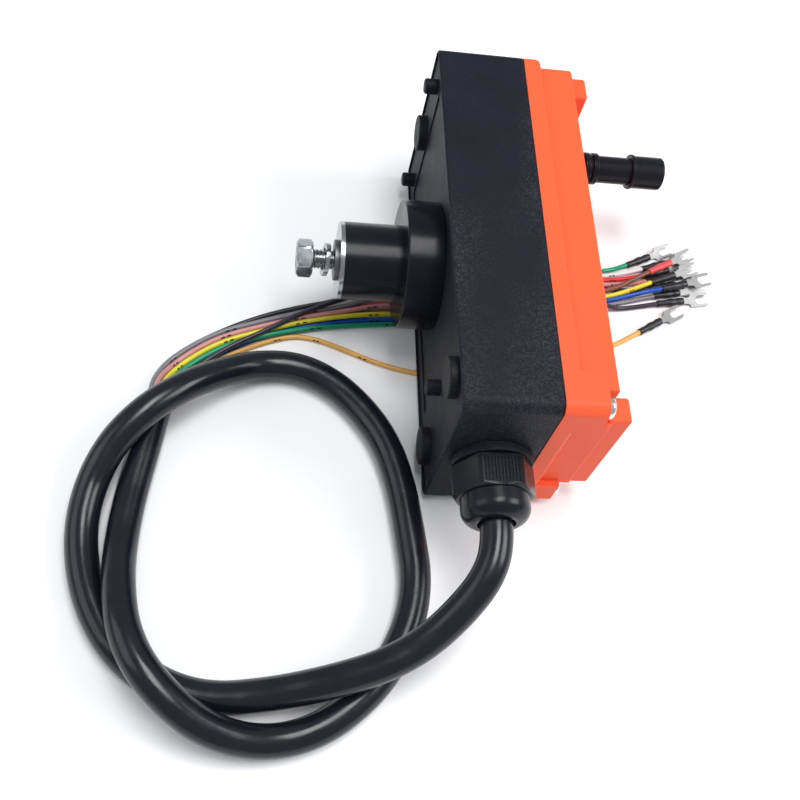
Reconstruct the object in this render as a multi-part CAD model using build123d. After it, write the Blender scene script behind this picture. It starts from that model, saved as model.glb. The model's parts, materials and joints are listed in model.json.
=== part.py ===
from build123d import *
import math
import os

os.makedirs("parts", exist_ok=True)

# Radio remote-control receiver for a crane or hoist.
# x runs from the shock mount on the back to the antenna on the front, y from the cable gland to the
# far end, z up. The origin is the centre of the shock mount's free end plate.

# case outline
LENGTH_Y0, LENGTH_Y1 = -83.5, 80.8
HALF_W = 39.0
CORNER_R = 4.5
BACK_X, SEAM_X = 37.0, 71.7
WALL = 2.6
INNER_BACK_X = 41.0
RECESS_X, PANEL_X = 37.9, 38.5
RIM = 1.0

# rear features
PEG_R, PEG_TIP_X = 3.07, 32.6
PEG_SPOTS = [(68.4, 28.6), (68.4, -28.6), (-55.2, 0.0)]
PAD_R, PAD_TIP_X = 7.42, 34.4
PAD_SPOTS = [(70.0, 0.0), (-66.2, 27.3), (-66.2, -27.3)]

# shock mount
COLLAR_R, COLLAR_X = 25.3, 24.1
DAMPER_R, PLATE_T = 15.2, 1.6
STUD_R, BUSH_R, BUSH_LEN = 4.0, 7.0, 11.0

# M8 bolt and washers
BOLT_R, HEAD_AF, HEAD_X0, HEAD_X1 = 3.9, 13.0, -16.2, -9.9
BOLT_END_X = 10.0
WASHER_R, WASHER_T = 8.0, 1.6
SPRING_R, SPRING_T, SPRING_X, SPRING_TILT = 6.5, 1.8, -4.75, 8.0
HOLE_R = 4.25

# front cover
GASKET_X, RIM_X, BODY_IN = 72.3, 79.6, 2.5
FACE_X, BAR_X = 93.0, 100.5
COVER_IN_X = 90.4
TONGUE_Y = LENGTH_Y1 - 8.0
TOP_BAR = (66.8, 77.6, 31.8)
LOW_BAR = (-80.0, -70.0, 26.0)
BOSS, BOSS_X = 16.0, 88.0
SCREW_Y, SCREW_Z = -78.3, 33.0
SCREW_HEAD_R, SCREW_HEAD_H, SCREW_R, SCREW_TIP_X = 4.0, 3.0, 2.0, 60.0

# cable gland, axis along y
GL_X = 55.5
GL_FLANGE_R, GL_THREAD_R, GL_CLAMP_R, GL_BORE_R = 15.0, 11.25, 10.2, 6.5
GL_AF, GL_NUT_Y0, GL_NUT_Y1, GL_MOUTH_Y, GL_MOUTH_R = 27.0, -87.5, -99.5, -109.0, 6.9
CABLE_R, TAIL_Y0, TAIL_Y1 = 6.0, -105.5, -72.0

# antenna, axis along x
ANT_Y = 57.8
ANT_BOOT_X0, ANT_BOOT_X1, ANT_BOOT_R = 94.8, 113.6, 6.75
ANT_SHAFT_X1, ANT_SHAFT_R = 127.8, 5.8
ANT_CAP_X1, ANT_CAP_R, ANT_BEAD_R = 142.5, 7.0, 7.5

# board and what stands on it
BOARD_X0, BOARD_X1 = 46.0, 47.6
BOARD_Y0, BOARD_Y1, BOARD_HALF = -58.0, 70.0, 33.0
BOARD_SCREWS = [(-52.0, 29.5), (-52.0, -29.5), (66.0, 29.5), (66.0, -29.5)]
RELAY_Y = [-28.0, -7.0, 14.0, 35.0]
WAYS, WAY_PITCH = 11, 4.7

# cores and their ends
CORE_R, SLEEVE_R, SLEEVE_IN, SLEEVE_LEN = 1.05, 1.8, 1.32, 13.0
CRIMP_R, CRIMP_LEN, FORK_LEN, FORK_W, FORK_T, FORK_GAP = 1.28, 6.0, 12.0, 6.4, 0.8, 3.8


def save(name, shape):
    export_step(shape, f"parts/{name}.step")


def group(shapes):
    return Compound(children=list(shapes))


def block(x0, x1, y0, y1, z0, z1):
    return Pos((x0 + x1) / 2, (y0 + y1) / 2, (z0 + z1) / 2) * Box(x1 - x0, y1 - y0, z1 - z0)


def rod_x(x0, x1, r, y=0.0, z=0.0):
    return Pos((x0 + x1) / 2, y, z) * Rot(0, 90, 0) * Cylinder(r, abs(x1 - x0))


def rod_y(y0, y1, r, x=GL_X, z=0.0):
    return Pos(x, (y0 + y1) / 2, z) * Rot(90, 0, 0) * Cylinder(r, abs(y1 - y0))


def slab(x0, x1, inset, radius):
    """Case outline drawn in the y-z plane, pulled in by inset, from x0 to x1."""
    w = LENGTH_Y1 - LENGTH_Y0 - 2 * inset
    h = 2 * HALF_W - 2 * inset
    mid = (LENGTH_Y0 + LENGTH_Y1) / 2
    face = Plane.YZ.offset(x0) * Pos(mid, 0) * RectangleRounded(w, h, radius)
    return extrude(face, x1 - x0)


def hexagon_x(x0, x1, flats):
    face = Plane.YZ.offset(x0) * RegularPolygon(flats / 2, 6, major_radius=False)
    return extrude(face, x1 - x0)


# ---------------------------------------------------------------- case

def housing_shell():
    outer = slab(BACK_X, SEAM_X, 0, CORNER_R)
    outer = fillet(outer.faces().sort_by(Axis.X)[0].edges(), 0.9)
    shell = outer - slab(INNER_BACK_X, SEAM_X + 1, WALL, CORNER_R - 1.5)
    shell -= slab(BACK_X - 1, RECESS_X, RIM, CORNER_R - 1)
    shell -= block(RECESS_X - 1, PANEL_X, -50.5, 62.5, -31, 31)
    for y, z in PEG_SPOTS:
        peg = rod_x(PEG_TIP_X, RECESS_X + 0.5, PEG_R, y, z)
        shell += chamfer(peg.faces().sort_by(Axis.X)[0].edges(), 0.5)
    for z in (SCREW_Z, -SCREW_Z):
        post = rod_x(INNER_BACK_X - 0.5, SEAM_X, 5.5, SCREW_Y, z) & outer
        shell += post
        shell -= rod_x(SCREW_TIP_X - 2, SEAM_X + 1, SCREW_R + 0.3, SCREW_Y, z)
    for y, z in BOARD_SCREWS:
        shell += rod_x(INNER_BACK_X - 0.5, BOARD_X0, 3.0, y, z)
        shell -= rod_x(INNER_BACK_X + 0.6, BOARD_X0 + 1, 1.55, y, z)
    shell -= rod_x(BACK_X - 2, INNER_BACK_X + 1, STUD_R + 0.25)
    shell -= rod_y(LENGTH_Y0 - 1, LENGTH_Y0 + WALL + 0.5, GL_THREAD_R + 0.15)
    return shell


def rear_pads():
    pads = []
    for y, z in PAD_SPOTS:
        pad = rod_x(PAD_TIP_X, RECESS_X, PAD_R, y, z)
        pads.append(fillet(pad.faces().sort_by(Axis.X)[0].edges(), 0.6))
    return group(pads)


def cover_gasket():
    return slab(SEAM_X, GASKET_X, 0.5, CORNER_R - 0.4) - slab(SEAM_X - 1, GASKET_X + 1, 2.2, CORNER_R - 1.5) \
        - rod_x(SEAM_X - 1, GASKET_X + 1, 5.6, SCREW_Y, SCREW_Z) \
        - rod_x(SEAM_X - 1, GASKET_X + 1, 5.6, SCREW_Y, -SCREW_Z)


def front_cover():
    rim = slab(GASKET_X, RIM_X, 0, CORNER_R)
    rim = fillet(rim.faces().sort_by(Axis.X)[-1].edges(), 2.0)
    body = slab(RIM_X - 3, FACE_X, BODY_IN, CORNER_R - 1)
    body = fillet(body.faces().sort_by(Axis.X)[-1].edges(), 0.8)
    outline = slab(GASKET_X, FACE_X, 0, CORNER_R)
    cover = rim + body
    y_boss = LENGTH_Y0 + BOSS
    for side in (1, -1):
        z0, z1 = sorted((side * (HALF_W - BOSS), side * (HALF_W + 1)))
        corner = block(RIM_X - 3, BOSS_X, LENGTH_Y0 - 1, y_boss, z0, z1) & outline
        cover += corner
        z0, z1 = sorted((side * 24.5, side * (HALF_W + 2)))
        pocket = block(BOSS_X, FACE_X + 2, LENGTH_Y0 - 2, -73.5, z0, z1)
        inner = pocket.edges().filter_by(Axis.X).sort_by(lambda e: e.center().Y - abs(e.center().Z))[-1]
        cover -= fillet(inner, 4.0)
    bars = [TOP_BAR, LOW_BAR]
    for y0, y1, half in bars:
        bar = block(FACE_X - 1, BAR_X, y0, y1, -half, half)
        cover += fillet(bar.faces().sort_by(Axis.X)[-1].edges() + bar.edges().filter_by(Axis.X), 1.2)
    cover -= slab(GASKET_X - 1, RIM_X - 2, WALL, CORNER_R - 1.5)
    cover -= slab(RIM_X - 3, COVER_IN_X, BODY_IN + WALL, 2.0)
    for z in (SCREW_Z, -SCREW_Z):
        post = rod_x(GASKET_X, BOSS_X, 6.0, SCREW_Y, z) & outline
        cover += post
        cover -= rod_x(GASKET_X - 1, BOSS_X + 1, SCREW_R + 0.15, SCREW_Y, z)
        tongue = block(SEAM_X - 4, GASKET_X + 2, TONGUE_Y, TONGUE_Y + 3, z * 0.6 - 5, z * 0.6 + 5)
        cover += tongue + block(GASKET_X, GASKET_X + 3, TONGUE_Y, TONGUE_Y + 6, z * 0.6 - 5, z * 0.6 + 5)
    cover -= rod_x(COVER_IN_X - 1, FACE_X + 1, 3.3, ANT_Y)
    return cover


def cover_screws():
    screws = []
    for z in (SCREW_Z, -SCREW_Z):
        head = rod_x(BOSS_X, BOSS_X + SCREW_HEAD_H, SCREW_HEAD_R, SCREW_Y, z)
        head = fillet(head.faces().sort_by(Axis.X)[-1].edges(), 1.4)
        slot = block(BOSS_X + 1.6, BOSS_X + 4, SCREW_Y - 2.4, SCREW_Y + 2.4, z - 0.5, z + 0.5)
        cross = block(BOSS_X + 1.6, BOSS_X + 4, SCREW_Y - 0.5, SCREW_Y + 0.5, z - 2.4, z + 2.4)
        shank = rod_x(SCREW_TIP_X, BOSS_X, SCREW_R, SCREW_Y, z)
        screws.append(head - slot - cross + shank)
    return group(screws)


# ---------------------------------------------------------------- shock mount

def mount_collar():
    collar = rod_x(COLLAR_X, PANEL_X, COLLAR_R)
    collar = fillet(collar.faces().sort_by(Axis.X)[0].edges(), 0.8)
    return collar - rod_x(COLLAR_X - 1, PANEL_X + 1, STUD_R + 0.1)


def rubber_damper():
    damper = rod_x(PLATE_T, COLLAR_X, DAMPER_R) - rod_x(COLLAR_X - 1.5, COLLAR_X + 1, DAMPER_R - 1.2)
    return damper - rod_x(PLATE_T - 1, PLATE_T + BUSH_LEN, BUSH_R)


def damper_end_plate():
    plate = rod_x(0, PLATE_T, DAMPER_R) + rod_x(PLATE_T, PLATE_T + BUSH_LEN, BUSH_R)
    return plate - rod_x(-1, BOLT_END_X + 1.5, HOLE_R)


def damper_stud():
    return rod_x(COLLAR_X - 1.5, COLLAR_X, DAMPER_R - 1.2) + rod_x(COLLAR_X, 49.0, STUD_R)


def damper_nut():
    return hexagon_x(INNER_BACK_X, INNER_BACK_X + 6.5, 13.0) - rod_x(INNER_BACK_X - 1, 48.5, STUD_R)


def flat_washer():
    return rod_x(-WASHER_T, 0, WASHER_R) - rod_x(-3, 1, HOLE_R)


def spring_washer():
    ring = Rot(0, 90, 0) * (Cylinder(SPRING_R, SPRING_T) - Cylinder(4.4, SPRING_T + 1))
    gap = Pos(0, 0, 5.4) * Rot(0, 0, 25) * Box(SPRING_T * 3, 0.7, 4)
    return Pos(SPRING_X, 0, 0) * Rot(0, SPRING_TILT, 0) * (ring - gap)


def mounting_bolt():
    head = hexagon_x(HEAD_X0, HEAD_X1, HEAD_AF)
    cone = Pos(HEAD_X0 + 4.0, 0, 0) * Rot(0, 90, 0) * Cone(6.6, 10.6, 8.0)
    head = head & cone
    shank = rod_x(HEAD_X1 - 0.5, BOLT_END_X, BOLT_R)
    shank = chamfer(shank.faces().sort_by(Axis.X)[-1].edges(), 0.8)
    return head + shank


# ---------------------------------------------------------------- cable gland

def gland_body():
    body = rod_y(-84.0, -87.0, GL_FLANGE_R) + rod_y(-84.5, -73.5, GL_THREAD_R)
    body += rod_y(-86.5, -96.5, GL_CLAMP_R)
    return body - rod_y(-70, -100, GL_BORE_R)


def gland_oring():
    return rod_y(-83.5, -84.0, GL_FLANGE_R - 0.7) - rod_y(-80, -90, GL_THREAD_R)


def gland_locknut():
    face = Plane.XZ.offset(75.6) * Pos(GL_X, 0) * Rot(0, 0, 30) * RegularPolygon(13.5, 6, major_radius=False)
    nut = extrude(face, 5.3)
    return nut - rod_y(-70, -90, GL_THREAD_R)


def gland_cap_nut():
    face = Plane.XZ.offset(-GL_NUT_Y0) * Pos(GL_X, 0) * RegularPolygon(GL_AF / 2, 6, major_radius=False)
    hexagon = extrude(face, GL_NUT_Y0 - GL_NUT_Y1)
    outline = Polyline((0, GL_NUT_Y0), (15.2, GL_NUT_Y0), (15.2, GL_NUT_Y1 + 1), (13.2, GL_NUT_Y1),
                       (0, GL_NUT_Y1), close=True)
    turned = Pos(GL_X, 0, 0) * revolve(make_face(outline), Axis.Y)
    nut = hexagon & turned
    dome = Pos(GL_X, 0, 0) * revolve(make_face(
        Line((0, GL_NUT_Y1 + 0.5), (12.6, GL_NUT_Y1 + 0.5)) + Line((12.6, GL_NUT_Y1 + 0.5), (12.6, -103.5))
        + Spline((12.6, -103.5), (11.2, -107.2), (8.2, GL_MOUTH_Y), tangents=((0, -1), (-1, -0.25)))
        + Line((8.2, GL_MOUTH_Y), (0, GL_MOUTH_Y)) + Line((0, GL_MOUTH_Y), (0, GL_NUT_Y1 + 0.5))), Axis.Y)
    nut += dome
    mid = (GL_NUT_Y0 + GL_NUT_Y1) / 2
    for k in range(3):
        turn = Pos(GL_X, 0, 0) * Rot(0, 120 * k + 30, 0)
        pocket = Pos(GL_AF / 2, mid, 0) * Box(1.0, 9.0, 12.4)
        ribs = [Pos(GL_AF / 2 - 0.3, mid, -5.4 + 1.2 * j) * Box(0.6, 9.0, 0.6) for j in range(10)]
        nut -= turn * pocket
        nut += turn * group(ribs)
    nut -= rod_y(GL_NUT_Y0 + 1, -104.0, GL_CLAMP_R + 0.4)
    return nut - rod_y(-100, GL_MOUTH_Y - 1, GL_MOUTH_R)


def gland_seal():
    return rod_y(-97.0, -103.5, 9.8) - rod_y(-90, -110, CABLE_R)


def cable_tail():
    return rod_y(TAIL_Y1, TAIL_Y0, CABLE_R)


# ---------------------------------------------------------------- antenna

def antenna_socket():
    socket = rod_x(84.0, 100.0, 3.1, ANT_Y) + rod_x(FACE_X, 94.4, 6.2, ANT_Y)
    return socket


def antenna_nut():
    return Pos(0, ANT_Y, 0) * hexagon_x(COVER_IN_X - 2.2, COVER_IN_X, 9.0) - rod_x(80, 92, 3.1, ANT_Y)


def antenna_boot():
    boot = rod_x(ANT_BOOT_X0, ANT_BOOT_X1, 5.7, ANT_Y)
    pitch = (ANT_BOOT_X1 - ANT_BOOT_X0) / 5
    for k in range(5):
        x0 = ANT_BOOT_X0 + k * pitch
        ring = rod_x(x0 + 0.5, x0 + pitch - 0.5, ANT_BOOT_R, ANT_Y)
        boot += fillet(ring.edges().filter_by(GeomType.CIRCLE), 0.6)
    boot -= rod_x(ANT_BOOT_X0 - 1, 100.6, 3.5, ANT_Y)
    return boot - rod_x(100, ANT_BOOT_X1 + 1, 1.3, ANT_Y)


def antenna_shaft():
    return rod_x(ANT_BOOT_X1, ANT_SHAFT_X1, ANT_SHAFT_R, ANT_Y) - rod_x(110, 130, 1.3, ANT_Y)


def antenna_cap():
    cap = rod_x(ANT_SHAFT_X1, ANT_CAP_X1, ANT_CAP_R, ANT_Y)
    cap = fillet(cap.faces().sort_by(Axis.X)[-1].edges(), 0.9)
    bead = rod_x(ANT_SHAFT_X1, ANT_SHAFT_X1 + 1.6, ANT_BEAD_R, ANT_Y)
    cap += fillet(bead.edges().filter_by(GeomType.CIRCLE), 0.5)
    return cap - rod_x(125, 136.5, 1.3, ANT_Y)


def antenna_mast():
    return rod_x(101.0, 136.0, 1.2, ANT_Y)


def antenna_lead():
    pts = [(84.0, ANT_Y, 0), (78.0, ANT_Y, 0), (72.5, ANT_Y, 4.0), (69.0, ANT_Y, 13.0), (64.0, ANT_Y, 17.0),
           (58.0, ANT_Y, 17.0)]
    return tube(pts, 0.7)


def antenna_plug():
    return rod_x(52.0, 58.0, 1.9, ANT_Y, 17.0)


# ---------------------------------------------------------------- board

def main_board():
    board = block(BOARD_X0, BOARD_X1, BOARD_Y0, BOARD_Y1, -BOARD_HALF, BOARD_HALF)
    board -= rod_x(BOARD_X0 - 1, BOARD_X1 + 1, 10.0)
    for y, z in BOARD_SCREWS:
        board -= rod_x(BOARD_X0 - 1, BOARD_X1 + 1, 1.7, y, z)
    return board


def board_screws():
    return group(rod_x(BOARD_X1, BOARD_X1 + 2, 2.75, y, z) + rod_x(42.0, BOARD_X1, 1.45, y, z)
                 for y, z in BOARD_SCREWS)


def way_z(k):
    return (k - (WAYS - 1) / 2) * WAY_PITCH


def terminal_block():
    body = block(BOARD_X1, 59.6, -55.0, -45.0, -26.2, 26.2)
    for k in range(WAYS):
        body -= rod_x(57.6, 60.6, 1.8, -48.5, way_z(k))
        body -= rod_y(-56, -51, 1.4, x=52.6, z=way_z(k))
    return body


def terminal_screws():
    return group(rod_x(57.6, 59.0, 1.7, -48.5, way_z(k)) - block(58.4, 60, -50.5, -46.5, way_z(k) - 0.25,
                                                                way_z(k) + 0.25) for k in range(WAYS))


def relays():
    boxes = []
    for y in RELAY_Y:
        for z in (21.0, -21.0):
            relay = block(BOARD_X1, BOARD_X1 + 15, y - 9.5, y + 9.5, z - 7.8, z + 7.8)
            boxes.append(chamfer(relay.faces().sort_by(Axis.X)[-1].edges(), 0.6))
    return group(boxes)


def power_transformer():
    core = block(BOARD_X1, 66.0, 46.0, 68.0, -26.0, 0.0)
    winding = block(50.0, 69.0, 49.0, 65.0, -22.0, -4.0)
    return core + winding


def radio_module():
    return block(BOARD_X1, 49.0, 45.0, 69.0, 6.0, 26.0) + block(49.0, 51.1, 46.5, 64.0, 7.5, 24.5)


def fuse_clips():
    clips = []
    for z in (-5.0, 5.0):
        for y in (-29.0, -13.0):
            clip = block(BOARD_X1, 52.2, y, y + 5, z - 3.0, z + 3.0) - rod_y(y - 1, y + 6, 2.65, x=52.4, z=z)
            clips.append(clip)
    return group(clips)


def fuses():
    return group(rod_y(-30.0, -7.5, 2.6, x=52.4, z=z) for z in (-5.0, 5.0))


def capacitors():
    cans = []
    for y in (21.0, 34.0):
        can = rod_x(BOARD_X1, BOARD_X1 + 16, 5.0, y, 0)
        cans.append(fillet(can.faces().sort_by(Axis.X)[-1].edges(), 0.8))
    return group(cans)


def controller_chip():
    return block(BOARD_X1, 49.2, -42.5, -33.5, -5.0, 5.0)


def signal_leds():
    return group(rod_x(BOARD_X1, 52.5, 1.5, -41.5, z) for z in (-18.0, -13.0, 13.0, 18.0))


# ---------------------------------------------------------------- cable and cores

# cable from the gland mouth, down to the table, once round and back under itself
SHEATH = [
    (55.5, -105.5, 0), (55.5, -116.5, 0), (51.6, -127.7, -3.0), (43.0, -137.5, -9.5), (32.0, -146.5, -16.2),
    (18.0, -153.5, -20.6), (0.0, -158.0, -25.2), (-20.0, -160.5, -32.8), (-42.0, -162.0, -35.2),
    (-60.5, -156.0, -35.2), (-75.5, -143.5, -35.2), (-85.8, -125.0, -35.2), (-90.5, -103.5, -35.2),
    (-88.5, -84.5, -33.0), (-81.0, -69.5, -26.2), (-69.0, -56.8, -22.0), (-55.0, -45.0, -24.0),
    (-41.5, -35.0, -30.6), (-28.0, -28.8, -34.6), (-13.0, -28.5, -35.2), (1.0, -35.0, -35.2),
    (13.0, -46.5, -35.2), (22.5, -61.0, -35.2), (28.0, -79.5, -35.2), (30.8, -99.5, -35.2),
    (33.0, -119.5, -35.2), (28.0, -139.5, -35.2), (15.5, -158.5, -35.2), (-3.0, -172.5, -35.2),
    (-23.0, -177.0, -34.0), (-43.0, -173.0, -27.0), (-60.0, -159.5, -21.4), (-69.8, -144.5, -21.6),
    (-74.0, -127.0, -25.6), (-75.6, -108.0, -34.0), (-74.0, -88.0, -35.2), (-70.0, -66.0, -35.2),
    (-67.0, -46.9, -35.2),
]

TABLE_Z = -40.15        # centre height of a core lying on the table
UPPER_Z = -38.0         # a core lying on the ones below
OVER_Z = -35.75         # a core crossing over both layers

# places along the bundle: centre x, y and heading in degrees from +x towards +y
BUNDLE = [
    (-67.0, -46.9, 81.0), (-66.0, -40.0, 78.0), (-62.0, -31.5, 58.0), (-54.0, -24.0, 41.0),
    (-43.0, -16.5, 33.0),
    (-28.0, -8.5, 24.0), (-12.0, -2.5, 17.0), (5.0, 2.0, 12.0), (21.0, 5.5, 11.0), (35.0, 8.5, 9.0),
]
# how far each core lies to the left of the bundle's centre, and its height, at each place
SPREAD = {
    "orange": [(-3.14, -36.5), (-4.9, -38.4), (-5.75, TABLE_Z), (-5.75, TABLE_Z), (-5.75, TABLE_Z)],
    "blue": [(-1.3, -38.34), (-2.5, -39.3), (-3.45, TABLE_Z), (-3.45, TABLE_Z), (-3.45, TABLE_Z),
             (-3.45, TABLE_Z), (-4.0, TABLE_Z), (-4.6, TABLE_Z), (-6.2, TABLE_Z), (-8.05, TABLE_Z)],
    "brown": [(-1.07, -35.82), (-1.0, -37.0), (-1.15, TABLE_Z), (-1.15, TABLE_Z), (-1.15, TABLE_Z),
              (-1.15, TABLE_Z), (-1.7, TABLE_Z), (-2.3, TABLE_Z), (-2.1, TABLE_Z), (-3.45, TABLE_Z)],
    "red": [(1.3, -38.34), (0.6, -39.4), (1.15, TABLE_Z), (1.15, TABLE_Z), (1.15, TABLE_Z),
              (1.15, TABLE_Z), (0.6, TABLE_Z), (0.0, TABLE_Z), (2.0, TABLE_Z), (1.15, TABLE_Z)],
    "white": [(1.07, -35.82), (2.5, -37.7), (3.45, TABLE_Z), (3.45, TABLE_Z), (3.45, TABLE_Z),
            (3.45, TABLE_Z), (2.9, TABLE_Z), (2.3, TABLE_Z), (6.2, TABLE_Z), (5.75, TABLE_Z)],
    "black": [(3.2, -36.55), (5.0, -38.4), (5.75, TABLE_Z), (5.75, TABLE_Z), (5.75, TABLE_Z),
              (5.75, TABLE_Z), (5.75, TABLE_Z), (5.75, TABLE_Z), (10.5, TABLE_Z), (10.35, TABLE_Z)],
    "violet": [(-3.14, -33.9), (-3.9, -35.4), (-4.6, UPPER_Z), (-4.6, UPPER_Z), (-4.3, -36.2),
               (-3.9, OVER_Z), (0.2, OVER_Z), (3.6, -35.9), (8.3, -38.6), (8.05, TABLE_Z)],
    "green": [(-1.3, -32.06), (-1.8, -34.4), (-2.3, UPPER_Z), (-2.3, UPPER_Z), (-2.3, UPPER_Z),
              (-4.6, UPPER_Z), (-5.9, -38.7), (-6.9, TABLE_Z), (-8.6, TABLE_Z), (-10.35, TABLE_Z)],
    "yellow": [(0.0, -33.96), (0.5, -35.3), (0.0, UPPER_Z), (0.0, UPPER_Z), (0.0, UPPER_Z),
               (-2.3, UPPER_Z), (-2.9, UPPER_Z), (-3.45, UPPER_Z), (-4.1, -38.6), (-5.75, TABLE_Z)],
    "pink": [(1.3, -32.06), (2.4, -33.8), (2.3, UPPER_Z), (2.3, UPPER_Z), (2.3, UPPER_Z),
             (0.0, UPPER_Z), (-0.6, UPPER_Z), (-1.15, UPPER_Z), (0.0, -38.6), (-1.15, TABLE_Z)],
    "grey": [(3.14, -33.9), (4.4, -35.2), (4.6, UPPER_Z), (4.6, UPPER_Z), (4.6, UPPER_Z),
             (2.3, UPPER_Z), (1.7, UPPER_Z), (1.15, UPPER_Z), (4.0, -38.6), (3.45, TABLE_Z)],
}

# lanes under the case and in front of the cover: lane 1 is nearest the gland end
LANE, LANE_SLOPE = 2.3, 0.147
CROSS_Z, HIGH_Z = -37.88, -35.6   # a core crossing over one layer, over two
BED_Z, TOP_Z = -39.4, -35.7       # crimp sleeves on the table, and on the sleeves below
LANES = {
    "blue": [(58, 2, TABLE_Z), (93, 2, TABLE_Z), (106, 3, TABLE_Z), (117, 3.03, TABLE_Z)],
    "yellow": [(58, 3, TABLE_Z), (92, 3, TABLE_Z), (105, 4, TABLE_Z), (117, 4.03, TABLE_Z)],
    "brown": [(58, 4, TABLE_Z), (92, 4, TABLE_Z), (105, 5, TABLE_Z), (117.5, 5.03, TABLE_Z)],
    "pink": [(58, 5, TABLE_Z), (75, 5.05, TABLE_Z), (93.8, 5, TABLE_Z), (103.3, 7, TABLE_Z),
              (115, 7.03, TABLE_Z)],
    "red": [(58, 6, TABLE_Z), (75, 6.05, TABLE_Z), (93.4, 6, TABLE_Z), (102.6, 8, TABLE_Z),
              (115, 8.03, TABLE_Z)],
    "white": [(58, 8, TABLE_Z), (75, 8.05, TABLE_Z), (94, 8, TABLE_Z), (103.5, 9, TABLE_Z),
              (114, 9.03, TABLE_Z)],
    "grey": [(58, 7, TABLE_Z), (72, 7.05, TABLE_Z), (86, 7, TABLE_Z), (93.5, 6.9, CROSS_Z),
              (103, 2.15, CROSS_Z),
             (110, 2, TABLE_Z)],
    "black": [(58, 10, TABLE_Z), (72, 10.05, TABLE_Z), (86, 10, TABLE_Z), (94, 10, CROSS_Z),
              (105, 6.2, CROSS_Z),
              (113, 6, TABLE_Z)],
    "green": [(56, 1, TABLE_Z), (72, 1.04, TABLE_Z), (89, 1.02, TABLE_Z), (103, 1, TABLE_Z),
              (111, 1, CROSS_Z),
              (116.5, 5.1, CROSS_Z), (122.5, 9.8, CROSS_Z)],
    "violet": [(56, 9, TABLE_Z), (75, 9.05, TABLE_Z), (93, 9, TABLE_Z), (102, 10, TABLE_Z),
              (110, 9.9, HIGH_Z),
               (116.2, 5.6, HIGH_Z), (122.4, 1.4, HIGH_Z)],
}
# last free points before each sleeve, then where the sleeve starts and its heading in degrees
ENDS = {
    "violet": ([(130.5, 12.3, TABLE_Z), (140, 14.1, TABLE_Z)], (150.5, 16.2, BED_Z), 10),
    "grey": ([(127, 14.2, TABLE_Z), (138, 17.2, TABLE_Z)], (149.5, 20.3, BED_Z), 12),
    "black": ([(127, 23.1, TABLE_Z), (138, 22.8, TABLE_Z)], (148.0, 24.2, BED_Z), 15),
    "pink": ([(127, 25.5, TABLE_Z), (137, 26.3, TABLE_Z)], (147.0, 28.0, BED_Z), 17),
    "red": ([(127, 27.8, TABLE_Z), (136.5, 29.3, TABLE_Z)], (146.5, 31.5, BED_Z), 18),
    "white": ([(127, 30.2, TABLE_Z), (136, 32.2, TABLE_Z)], (146.0, 35.0, BED_Z), 20),
    "green": ([(129.8, 33.4, TABLE_Z)], (138.9, 36.7, BED_Z), 26),
    "blue": ([(127, 16.6, TABLE_Z), (137, 18.9, -38.6), (145.5, 20.6, -36.3)], (152.2, 22.0, TOP_Z), 17),
    "yellow": ([(127, 18.8, TABLE_Z), (135.5, 21.0, -38.4), (142, 22.9, -36.4)], (147.5, 25.2, TOP_Z), 23),
    "brown": ([(127.5, 20.9, -37.9), (135.5, 24.4, -37.0), (141.5, 27.8, -36.0)], (147.4, 31.0, TOP_Z), 28),
    "orange": ([(-24.5, -14.1, TABLE_Z), (-14.5, -11.1, TABLE_Z), (-5, -12.2, TABLE_Z),
                (6, -16.3, TABLE_Z), (19, -22.0, TABLE_Z), (37, -26.8, TABLE_Z),
                (58, -27.0, TABLE_Z), (82, -22.5, TABLE_Z), (106, -15.5, TABLE_Z),
                (125, -8.2, TABLE_Z)],
               (139.5, 0.2, BED_Z), 31),
}


def tube(points, r):
    """Round cord: straight runs joined by arcs, each arc using just under half of its shorter run."""
    pts = [Vector(*p) for p in points]
    radii = []
    for a, b, c in zip(pts, pts[1:], pts[2:]):
        turn = math.radians((b - a).get_angle(c - b))
        radii.append(0.45 * min((b - a).length, (c - b).length) / math.tan(turn / 2))
    path = FilletPolyline(*points, radius=radii)
    solid = sweep(Plane(origin=pts[0], z_dir=pts[1] - pts[0]) * Circle(r), path=path)
    expect = math.pi * r * r * path.length
    print(f"cord r {r}: length {path.length:.1f}, smallest radius {min(radii):.1f}, "
          f"volume ratio {solid.volume / expect:.4f}")
    return solid


def lane_point(x, lane, z):
    return (x, round(8.5 + LANE_SLOPE * (x - 35) + LANE * (lane - 5.5), 2), z)


def end_point(start, heading, along):
    a = math.radians(heading)
    return (round(start[0] + along * math.cos(a), 2), round(start[1] + along * math.sin(a), 2), start[2])


def core_route(colour):
    """Route of one core from the cut end of the sheath to the barrel of its fork terminal."""
    points = []
    for (x, y, heading), (left, z) in zip(BUNDLE, SPREAD[colour]):
        a = math.radians(heading)
        points.append((round(x - left * math.sin(a), 2), round(y + left * math.cos(a), 2), z))
    points += [lane_point(*p) for p in LANES.get(colour, [])]
    free, start, heading = ENDS[colour]
    return points + free + [start, end_point(start, heading, CORE_IN)]


def at_end(colour, along, roll=0.0):
    free, start, heading = ENDS[colour]
    return Pos(*end_point(start, heading, along)) * Rot(0, 0, heading) * Rot(roll, 0, 0)


def sleeve(colour):
    body = Rot(0, 90, 0) * (Cylinder(SLEEVE_R, SLEEVE_LEN) - Cylinder(SLEEVE_IN, SLEEVE_LEN + 1))
    return at_end(colour, SLEEVE_LEN / 2) * body


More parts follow.
